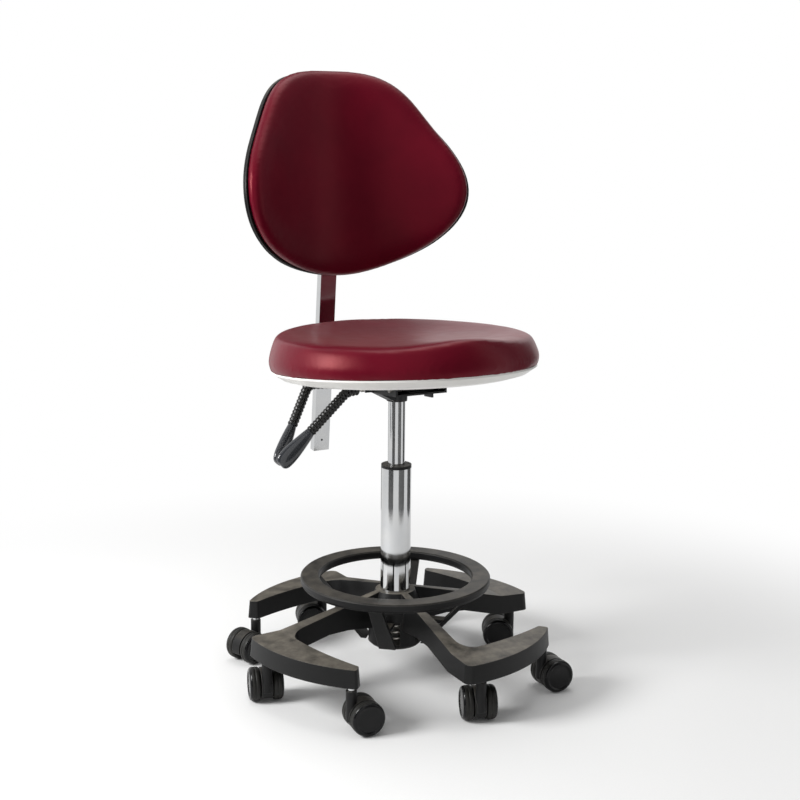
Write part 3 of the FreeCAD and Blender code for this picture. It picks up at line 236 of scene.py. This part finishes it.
# %% Powder coat
def powder_coat():
    material, tree, shader, where = begin("powder_coated_steel")
    peel = add(tree, "TexNoise", None, {"Vector": where, "Scale": per_mm(2.2), "Detail": 1.0})
    cloud = add(tree, "TexNoise", None, {"Vector": where, "Scale": per_mm(30), "Detail": 4.0})
    rounded = add(tree, "Bevel", None, {"Radius": 1.0 * MM})
    bump = add(tree, "Bump", None, {
        "Height": peel.outputs["Fac"], "Strength": 0.18, "Distance": 0.12 * MM,
        "Normal": rounded.outputs["Normal"]})
    tone = add(tree, "Mix", COLOURS, {
        FACTOR: cloud.outputs["Fac"], FIRST: linear("#0B0B0C"), SECOND: linear("#161617")})
    rough = add(tree, "MapRange", None, {"Value": cloud.outputs["Fac"], "To Min": 0.38, "To Max": 0.52})
    feed(tree, shader, {
        "Base Color": tone.outputs[MIXED], "Roughness": rough.outputs[0], "Normal": bump.outputs["Normal"]})
    return material


chrome = chrome_plate()
zinc = zinc_plate()
coat = powder_coat()
print("finishes", chrome.name, zinc.name, coat.name)

# %% [markdown]
# ## Plastics and rubber
# The seat pan is white ABS from a polished tool with a light etch. The lever sleeves are soft black
# PVC with a satin shine. The paddles are glossy dark grey ABS. Wheels have a glossy nylon disc and a
# duller tread that picks dust off the floor. The grit on all of these is drawn one to three millimetres
# wide, coarser than it is, so that it shows.

# %% White pan
def white_abs():
    material, tree, shader, where = begin("abs_white_etched")
    etch = add(tree, "TexNoise", None, {"Vector": where, "Scale": per_mm(1.2), "Detail": 2.0})
    soil = add(tree, "TexNoise", None, {"Vector": where, "Scale": per_mm(45), "Detail": 5.0})
    tone = add(tree, "Mix", COLOURS, {
        FACTOR: soil.outputs["Fac"], FIRST: linear("#D6D4D0"), SECOND: linear("#E6E5E2")})
    bump = add(tree, "Bump", None, {
        "Height": etch.outputs["Fac"], "Strength": 0.12, "Distance": 0.1 * MM})
    rough = add(tree, "MapRange", None, {"Value": soil.outputs["Fac"], "To Min": 0.3, "To Max": 0.42})
    feed(tree, shader, {
        "Base Color": tone.outputs[MIXED], "Roughness": rough.outputs[0], "Normal": bump.outputs["Normal"]})
    return material


# %% Sleeve rubber, paddle gloss and wheel nylon
def tinted_polymer(name, dark, pale, patch, rough, grit, depth, gloss):
    """A filled polymer. Tone and roughness wander over patches under a fine grit. Sizes are in mm."""
    material, tree, shader, where = begin(name)
    patches = add(tree, "TexNoise", None, {"Vector": where, "Scale": per_mm(patch), "Detail": 5.0})
    tone = add(tree, "Mix", COLOURS, {
        FACTOR: patches.outputs["Fac"], FIRST: linear(dark), SECOND: linear(pale)})
    grain = add(tree, "TexNoise", None, {"Vector": where, "Scale": per_mm(grit), "Detail": 2.0})
    bump = add(tree, "Bump", None, {
        "Height": grain.outputs["Fac"], "Strength": 0.15, "Distance": depth * MM})
    spread = add(tree, "MapRange", None, {
        "Value": patches.outputs["Fac"], "From Min": 0.3, "From Max": 0.7,
        "To Min": rough[0], "To Max": rough[1]})
    feed(tree, shader, {
        "Base Color": tone.outputs[MIXED], "Roughness": spread.outputs[0],
        "Normal": bump.outputs["Normal"], "Specular IOR Level": gloss})
    return material


pan_white = white_abs()
rubber = tinted_polymer(
    "pvc_soft_black", "#0A0A0A", "#151514",
    patch=9, rough=(0.2, 0.36), grit=0.9, depth=0.12, gloss=0.4)
paddle_gloss = tinted_polymer(
    "abs_grey_gloss", "#232529", "#36383C",
    patch=22, rough=(0.06, 0.14), grit=3.0, depth=0.05, gloss=0.6)
wheel_gloss = tinted_polymer(
    "nylon_wheel_disc", "#060607", "#0E0E0F",
    patch=14, rough=(0.12, 0.26), grit=1.2, depth=0.08, gloss=0.25)
tread_dull = tinted_polymer(
    "nylon_wheel_tread", "#121211", "#2A2926",
    patch=7, rough=(0.4, 0.6), grit=1.0, depth=0.2, gloss=0.25)
print("finishes", pan_white.name, rubber.name, paddle_gloss.name, wheel_gloss.name, tread_dull.name)

# %% [markdown]
# ## Plywood under the cushion
# The board under the foam is birch plywood. Only its edge could ever show, from below through the pan.
# A wave along the thickness gives the veneers. They are about 1.5 mm thick on such a board, and are
# drawn about three times as thick, because finer ones wouldn't show.

# %% Birch plywood
VENEER = 1.5
WAVE_RADIANS = 20  # how far a wave texture turns in one unit, so that a band is pi / 20 of a unit wide


def birch_plywood():
    material, tree, shader, where = begin("birch_plywood")
    veneer = add(tree, "TexWave", {"bands_direction": "Z"}, {
        "Vector": where, "Scale": per_mm(VENEER) / WAVE_RADIANS, "Distortion": 1.5, "Detail": 3.0})
    tone = add(tree, "Mix", COLOURS, {
        FACTOR: veneer.outputs["Fac"], FIRST: linear("#B08A5A"), SECOND: linear("#D3B483")})
    bump = add(tree, "Bump", None, {
        "Height": veneer.outputs["Fac"], "Strength": 0.15, "Distance": 0.2 * MM})
    feed(tree, shader, {
        "Base Color": tone.outputs[MIXED], "Normal": bump.outputs["Normal"], "Roughness": 0.62})
    return material


plywood = birch_plywood()
print("finish", plywood.name)

# %% [markdown]
# ## Dressing the solids
# Each solid names a material slot, and gets the finish of that slot. The base frame is the exception:
# shoes rest on it, so it has the dustier nylon, with more painted highlight on its upward faces too.

# %% A finish for every solid
FINISH = {
    "black_moulding": nylon, "chrome": chrome, "black_steel": coat, "steel": zinc,
    "white_plastic": pan_white, "maroon_leather": leather, "plywood": plywood,
    "black_rubber": rubber, "grey_gloss": paddle_gloss, "wheel_black": wheel_gloss,
}
for name, solid in solids.items():
    solid.data.materials.clear()
    solid.data.materials.append(FINISH[slot_of[name]])
# The base frame's nylon has more painted warm grey on upward faces, dust and painted highlight in one.
solids["base_frame"].data.materials[0] = trodden_sheened_nylon
print("solids finished", len(solids))

# %% [markdown]
# ## Smooth copies of faceted solids
# Some solids are faceted to stay light. Subdivision rounds the facets off, but it also shrinks the form,
# so the corners are first moved out until the rounded surface passes through where they were. Sharp
# edges are creased to stay sharp. A pad has none, and is rebuilt in even faces instead, which a cloth
# simulation needs.

# %% Points and modifiers
def vectors_of(mesh, field="co"):
    """A vector for each point of a mesh: its place, or its normal."""
    values = np.zeros(len(mesh.vertices) * 3)
    mesh.vertices.foreach_get(field, values)
    return values.reshape(-1, 3)


def place_points(piece, points):
    piece.data.vertices.foreach_set("co", points.ravel())
    piece.data.update()


def settle(piece):
    """Applies all the modifiers of a piece."""
    depsgraph = bpy.context.evaluated_depsgraph_get()
    done = bpy.data.meshes.new_from_object(piece.evaluated_get(depsgraph))
    old = piece.data
    piece.modifiers.clear()
    piece.data = done
    bpy.data.meshes.remove(old)


def shade_smooth(piece):
    piece.data.polygons.foreach_set("use_smooth", [True] * len(piece.data.polygons))


# %% Smooth copies
SHARP = math.radians(62)
NEARLY_FLAT = math.radians(20)
NEARLY_SQUARE = 1.2
SUBDIVISIONS = 2
RELAX_PASSES = 3
MEETING_TRIES = 3
MEETING_STEP = 0.8


def meet_corners(piece):
    """Moves the corners out so that the subdivided surface comes back to where they were."""
    goal = vectors_of(piece.data)
    guess = goal.copy()
    for _ in range(MEETING_TRIES):
        place_points(piece, guess)
        trial = piece.modifiers.new("Trial", "SUBSURF")
        trial.levels = 1
        seen = piece.evaluated_get(bpy.context.evaluated_depsgraph_get()).to_mesh()
        reached = vectors_of(seen)[:len(goal)]
        piece.modifiers.clear()
        guess = guess + MEETING_STEP * (goal - reached)
    place_points(piece, guess)
    missed = float(np.abs(goal - reached).max()) / MM
    print(piece.name, "corners missed by", round(missed, 2), "mm before the last step")


def smooth_copy(name, solid, voxel=0.0):
    """A new object with the solid's form, smooth through its corners. A voxel, in mm, evens its faces."""
    mesh = bpy.data.meshes.new(name)
    shape = bmesh.new()
    shape.from_mesh(solids[solid].data)
    bmesh.ops.remove_doubles(shape, verts=shape.verts, dist=0.02 * MM)
    bmesh.ops.join_triangles(
        shape, faces=shape.faces, angle_face_threshold=NEARLY_FLAT, angle_shape_threshold=NEARLY_SQUARE)
    if not voxel:
        crease = shape.edges.layers.float.new("crease_edge")
        for edge in shape.edges:
            if len(edge.link_faces) == 2 and edge.calc_face_angle() > SHARP:
                edge[crease] = 1.0
    shape.to_mesh(mesh)
    shape.free()
    piece = bpy.data.objects.new(name, mesh)
    scene.collection.objects.link(piece)
    meet_corners(piece)
    subdivide = piece.modifiers.new("Subdivide", "SUBSURF")
    subdivide.levels = SUBDIVISIONS
    if voxel:
        rebuild = piece.modifiers.new("Rebuild", "REMESH")
        rebuild.mode = "VOXEL"
        rebuild.voxel_size = voxel * MM
        relax = piece.modifiers.new("Relax", "SMOOTH")
        relax.factor = 0.5
        relax.iterations = RELAX_PASSES
    settle(piece)
    shade_smooth(piece)
    return piece


def hand_over(piece, solid, finish):
    """The piece stands for that solid on its body, and the solid is hidden. A bare piece gets the finish."""
    if not piece.data.materials:
        piece.data.materials.append(finish)
    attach(piece, body_of[solid])
    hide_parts(solid)


# %% [markdown]
# ## The stuffed seat and back
# Foam under a tight cover has no flat facets: it is one taut skin, fullest where nothing holds it. The
# smooth copy gives the outline. It starts a little inside the solid on the seat, and a little outside
# it on the back. A short cloth simulation then blows it up, held where it sits on its pan or shell. Only
# the outward part of that movement is kept, capped and evened out, so the cover stays taut and the seat
# keeps its saddle front.

# %% Stuff a pad
PRESSURE = 4.0
FRAMES = 20
HELD_FACING = 0.35
SWELL_CAP = 3.0
EVENING_PASSES = 60


def even_out(piece, field):
    """Spreads a field over the mesh, each point taking half of its neighbours' mean, so that puckers go."""
    ends = np.zeros(len(piece.data.edges) * 2, dtype=int)
    piece.data.edges.foreach_get("vertices", ends)
    first, second = ends.reshape(-1, 2).T
    count = np.bincount(ends, minlength=len(field))[:, None]
    for _ in range(EVENING_PASSES):
        total = np.zeros_like(field)
        np.add.at(total, first, field[second])
        np.add.at(total, second, field[first])
        field = 0.5 * field + 0.5 * total / np.maximum(count, 1)
    return field


def stuff(piece, seat_side, start_offset):
    """Blows the pad up under its cover. Points that face seat_side are held. The offset is in mm."""
    normals = vectors_of(piece.data, "normal")
    place_points(piece, vectors_of(piece.data) + normals * start_offset * MM)
    held = piece.vertex_groups.new(name="held")
    facing = normals @ np.array(seat_side)
    held.add([int(i) for i in np.nonzero(facing > HELD_FACING)[0]], 1.0, "REPLACE")
    begun = vectors_of(piece.data)
    cloth = piece.modifiers.new("Cover", "CLOTH")
    cloth.settings.use_pressure = True
    cloth.settings.uniform_pressure_force = PRESSURE
    cloth.settings.vertex_group_mass = "held"
    cloth.settings.effector_weights.gravity = 0.0
    cloth.collision_settings.use_collision = False
    cloth.point_cache.frame_start = 1
    cloth.point_cache.frame_end = FRAMES
    for moment in range(1, FRAMES + 1):
        scene.frame_set(moment)
    settle(piece)
    scene.frame_set(1)
    moved = vectors_of(piece.data) - begun
    length = np.linalg.norm(moved, axis=1, keepdims=True)
    moved *= np.minimum(1.0, SWELL_CAP * MM / np.maximum(length, 1e-9))
    outward = (moved * normals).sum(axis=1, keepdims=True)
    place_points(piece, begun + normals * even_out(piece, outward))
    print(piece.name, "moved by up to", round(float(length.max()) / MM, 1), "mm before the cap")
    fine = piece.modifiers.new("Fine", "SUBSURF")
    fine.levels = 1
    fine.render_levels = 1
    shade_smooth(piece)


# %% The seat cushion and the back pad
seat = smooth_copy("seat_upholstery", "seat_cushion", voxel=4.5)
stuff(seat, seat_side=(0, 0, -1), start_offset=-1.0)
hand_over(seat, "seat_cushion", leather)

back = smooth_copy("back_upholstery", "back_pad", voxel=4.0)
stuff(back, seat_side=(0, 1, 0), start_offset=0.5)
hand_over(back, "back_pad", leather)
print("pads", len(seat.data.vertices), len(back.data.vertices))

# %% [markdown]
# ## The back shell, the sleeves and the paddles
# Behind the back pad is a moulded shell, a shallow dish with a soft rim and a square recess. Its smooth
# copy is drawn in a little across and upright, so that the pad hides its rim from the front. The ribbed
# sleeves and the paddles on the levers are the same case at a smaller size. The paddles are swelled a
# little, to a fuller grip.

# %% Shell, sleeves and paddles
SHELL_INSET = 0.97
PADDLE_SWELL = 1.2
shell = smooth_copy("back_shell_moulding", "back_shell")
low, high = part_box("back_shell")
middle = np.array((low + high) / 2)
inset = np.array((SHELL_INSET, 1.0, SHELL_INSET))
place_points(shell, middle + (vectors_of(shell.data) - middle) * inset)
hand_over(shell, "back_shell", nylon)
for lever in ("seat_lever", "back_lever"):
    paddle = smooth_copy(lever + "_grip", lever + "_paddle")
    swell = vectors_of(paddle.data, "normal") * PADDLE_SWELL * MM
    place_points(paddle, vectors_of(paddle.data) + swell)
    hand_over(paddle, lever + "_paddle", paddle_gloss)
    sleeve = smooth_copy(lever + "_ribbed_sleeve", lever + "_sleeve")
    hand_over(sleeve, lever + "_sleeve", rubber)
print("points of the shell", len(shell.data.vertices))

# %% [markdown]
# ## The return spring
# A short coil under the foot ring's spider lifts the ring again. Its foot stays in the hub and its head
# goes down with the ring, so the ring's travel flattens it. Here it rides with the base.

# %% Return spring
coil = smooth_copy("return_coil", "return_spring")
hand_over(coil, "return_spring", zinc)
low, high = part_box("return_spring")
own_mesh(coil)

# %% [markdown]
# ## A lathe for turned forms
# Wheels are turned forms, so a small lathe makes them. Its profile is a list of stations, each a
# distance along the axis and a radius in millimetres, with the finish of the face that follows. It
# starts and ends on the axis, where the radius is nothing.

# %% A lathe
def lathe(name, origin, axis, profile, finishes, sides):
    axis = Vector(axis).normalized()
    side = axis.orthogonal().normalized()
    other = axis.cross(side)
    shape = bmesh.new()
    rings = []
    for along, radius, _ in profile:
        centre = Vector(origin) + axis * along * MM
        if radius == 0:
            rings.append([shape.verts.new(centre)])
            continue
        ring = []
        for step in range(sides):
            angle = 2 * math.pi * step / sides
            spoke = side * math.cos(angle) + other * math.sin(angle)
            ring.append(shape.verts.new(centre + spoke * radius * MM))
        rings.append(ring)
    for first, second, (_, _, finish) in zip(rings, rings[1:], profile):
        for step in range(sides):
            after = (step + 1) % sides
            corners = [first[step % len(first)], first[after % len(first)],
                       second[after % len(second)], second[step % len(second)]]
            face = shape.faces.new(list(dict.fromkeys(corners)))
            face.material_index = finish
            face.smooth = True
    bmesh.ops.recalc_face_normals(shape, faces=shape.faces)
    mesh = bpy.data.meshes.new(name)
    shape.to_mesh(mesh)
    shape.free()
    piece = bpy.data.objects.new(name, mesh)
    scene.collection.objects.link(piece)
    for finish in finishes:
        mesh.materials.append(finish)
    return piece


# %% [markdown]
# ## Twin wheels
# Each caster has two discs on one axle. A real disc has a crowned tread with a fine moulding groove, a
# rounded shoulder, a raised lip that catches the light, and a face that is sunk a little and gently
# domed. One disc is listed from the axle up its inner face, over the tread and down its outer face, and
# the other is its mirror image.

# %% Wheel pairs
DISC, TREAD = 0, 1
WHEEL_SIDES = 56
WHEEL_SIDE = [
    (9.4, 4.0, DISC), (10.2, 5.5, DISC), (10.3, 23.2, DISC), (10.6, 24.6, TREAD), (11.4, 26.0, TREAD),
    (12.8, 26.8, TREAD), (15.0, 27.0, TREAD), (17.4, 27.0, TREAD), (17.6, 26.6, TREAD),
    (18.0, 26.6, TREAD), (18.2, 27.0, TREAD), (21.0, 26.95, TREAD), (23.4, 26.5, DISC),
    (25.2, 25.6, DISC), (26.4, 24.4, DISC), (27.0, 23.0, DISC), (27.2, 21.8, DISC), (27.0, 21.0, DISC),
    (26.2, 20.4, DISC), (25.6, 19.4, DISC), (25.7, 17.0, DISC), (26.0, 13.0, DISC), (26.2, 8.0, DISC),
    (26.3, 3.0, DISC), (26.3, 0, DISC),
]
mirrored = []
for number, (along, radius, _) in enumerate(WHEEL_SIDE):
    station_before = WHEEL_SIDE[max(number - 1, 0)]
    mirrored.append((-along, radius, station_before[2]))
wheel_profile = mirrored[::-1] + WHEEL_SIDE

wheel_solids = [name for name in solids if name.endswith("_wheels")]
for solid in wheel_solids:
    joint = joint_of[solid.replace("_wheels", "_roll")]
    pair = lathe(solid + "_turned", joint["pos_m"], joint["axis"], wheel_profile,
                 [wheel_gloss, tread_dull], WHEEL_SIDES)
    hand_over(pair, solid, wheel_gloss)
print("wheel pairs", len(wheel_solids))

# %% [markdown]
# ## Floor and surround
# The stool stands on a pale paper floor that fades into a white surround. Rays that the camera, a gloss
# or a clear piece sends out see full white there. The rays that only carry light round the scene see a
# dimmer one, so that the lamps still shape the stool.

# %% Floor
def sees_surround(tree):
    """A socket that is 1 for the rays that see the white surround, and 0 for those that carry light."""
    rays = add(tree, "LightPath")
    seen = add(tree, "Math", {"operation": "MAXIMUM"}, {
        0: rays.outputs["Is Camera Ray"], 1: rays.outputs["Is Glossy Ray"]})
    clear = add(tree, "Math", {"operation": "MAXIMUM"}, {
        0: seen.outputs[0], 1: rays.outputs["Is Transmission Ray"]})
    return clear.outputs[0]


def pale_floor():
    material, tree, shader, where = begin("floor_paper")
    middle = add(tree, "VectorMath", {"operation": "LENGTH"}, {0: where})
    far = add(tree, "MapRange", {"interpolation_type": "SMOOTHSTEP"}, {
        "Value": middle.outputs["Value"], "From Min": 0.45, "From Max": 1.3, "To Min": 0.0, "To Max": 1.0})
    share = add(tree, "Math", {"operation": "MULTIPLY"}, {0: far.outputs[0], 1: sees_surround(tree)})
    fibre = add(tree, "TexNoise", None, {"Vector": where, "Scale": per_mm(3), "Detail": 3.0})
    tone = add(tree, "Mix", COLOURS, {
        FACTOR: fibre.outputs["Fac"], FIRST: linear("#F4F4F3"), SECOND: linear("#FAFAFA")})
    feed(tree, shader, {"Base Color": tone.outputs[MIXED], "Roughness": 0.9, "Specular IOR Level": 0.1})
    white = add(tree, "Emission", None, {"Color": (1, 1, 1, 1), "Strength": 1.0})
    both = add(tree, "MixShader", None, {0: share.outputs[0], 1: shader.outputs[0], 2: white.outputs[0]})
    feed(tree, tree.nodes["Material Output"], {"Surface": both.outputs[0]})
    return material


FLOOR_REACH = 12.0
FLOOR_DROP = 0.3
floor_corners = [(x * FLOOR_REACH, y * FLOOR_REACH, 0) for x, y in ((-1, -1), (1, -1), (1, 1), (-1, 1))]
floor_mesh = bpy.data.meshes.new("floor")
floor_mesh.from_pydata(floor_corners, [], [(0, 1, 2, 3)])
floor = bpy.data.objects.new("floor", floor_mesh)
floor.location.z = -FLOOR_DROP * MM
scene.collection.objects.link(floor)
floor_mesh.materials.append(pale_floor())
print("floor", 2 * FLOOR_REACH, "m across")

# %% White surround
SURROUND_LIGHT = 0.38
world = bpy.data.worlds.new("studio")
scene.world = world
world.use_nodes = True
sky = world.node_tree
sky.nodes.clear()
level = add(sky, "MapRange", None, {"Value": sees_surround(sky), "To Min": SURROUND_LIGHT, "To Max": 1.0})
light = add(sky, "Background", None, {"Color": (1, 1, 1, 1), "Strength": level.outputs[0]})
add(sky, "OutputWorld", None, {"Surface": light.outputs[0]})
print("surround", world.name, "gives light of", SURROUND_LIGHT)

# %% [markdown]
# ## Lamps and flags
# One soft lamp stands to the left, as the camera sees it, and a wider, weaker one hangs overhead. A
# mirror that sees only white looks like paint, so tall dark flags stand round the stool, as in a studio,
# and draw the lines in the chrome. Only glossy rays see them, so they cast no shadow.

# %% Lamps
def soft_lamp(name, place, aim, size, power):
    data = bpy.data.lights.new(name, "AREA")
    data.shape = "DISK"
    data.size = size
    data.energy = power
    lamp = bpy.data.objects.new(name, data)
    lamp.location = place
    lamp.rotation_euler = (Vector(aim) - Vector(place)).to_track_quat("-Z", "Y").to_euler()
    scene.collection.objects.link(lamp)
    print("lamp", name, power, "W")


soft_lamp("key", place=(-1.8, 0.15, 1.35), aim=(0, 0, 0.5), size=0.9, power=44)
soft_lamp("overhead", place=(0.3, 0.2, 2.6), aim=(0, 0, 0.4), size=1.6, power=17)

# %% Dark flags
FLAG_DISTANCE = 1.0
FLAG_HEIGHT = 2.2
FLAGS = [(-112, 0.7), (168, 0.8), (95, 0.8), (15, 0.6)]  # compass bearing in degrees, width in metres


def dark_felt():
    material, tree, shader, where = begin("flag_felt")
    felt = add(tree, "TexNoise", None, {"Vector": where, "Scale": per_mm(6), "Detail": 3.0})
    tone = add(tree, "MapRange", None, {"Value": felt.outputs["Fac"], "To Min": 0.14, "To Max": 0.2})
    feed(tree, shader, {"Base Color": tone.outputs[0], "Roughness": 1.0})
    return material


def dark_flag(name, bearing, width, finish):
    """A tall board that only glossy rays see. It stands off in that direction, facing the stool."""
    turn = math.radians(bearing)
    centre = Vector((math.sin(turn), math.cos(turn), 0)) * FLAG_DISTANCE
    along = Vector((math.cos(turn), -math.sin(turn), 0)) * width / 2
    rise = Vector((0, 0, FLAG_HEIGHT))
    corners = [centre - along, centre + along, centre + along + rise, centre - along + rise]
    mesh = bpy.data.meshes.new(name)
    mesh.from_pydata(corners, [], [(0, 1, 2, 3)])
    mesh.materials.append(finish)
    flag = bpy.data.objects.new(name, mesh)
    scene.collection.objects.link(flag)
    flag.visible_camera = False
    flag.visible_diffuse = False
    flag.visible_shadow = False
    flag.visible_transmission = False


flag_felt = dark_felt()
for number, (bearing, width) in enumerate(FLAGS, 1):
    dark_flag("flag_%d" % number, bearing, width, flag_felt)
print("flags", len(FLAGS))

# %% [markdown]
# ## Camera
# The camera stands about 2.2 m off and 0.9 m up, with a fairly long lens that keeps the base and the
# backrest in proportion, and it leans by half a degree. The plain view transform keeps white white.

# %% Camera
LENS = 62.76
SENSOR = 36.0
CAMERA_PLACE = (-1.0719, -1.9717, 0.9078)
CAMERA_GAZE = (0.4757, 0.8583, -0.1925)
CAMERA_LEAN = math.radians(0.53)
camera_data = bpy.data.cameras.new("camera")
camera_data.lens = LENS
camera_data.sensor_width = SENSOR
camera_data.sensor_fit = "HORIZONTAL"
camera = bpy.data.objects.new("camera", camera_data)
scene.collection.objects.link(camera)
gaze = Vector(CAMERA_GAZE).to_track_quat("-Z", "Y").to_matrix()
lean = Matrix.Rotation(CAMERA_LEAN, 3, "Z")
camera.location = CAMERA_PLACE
camera.rotation_euler = (gaze @ lean).to_euler()
scene.camera = camera
scene.view_settings.view_transform = "Standard"
print("camera at", CAMERA_PLACE, "lens", LENS, "mm")
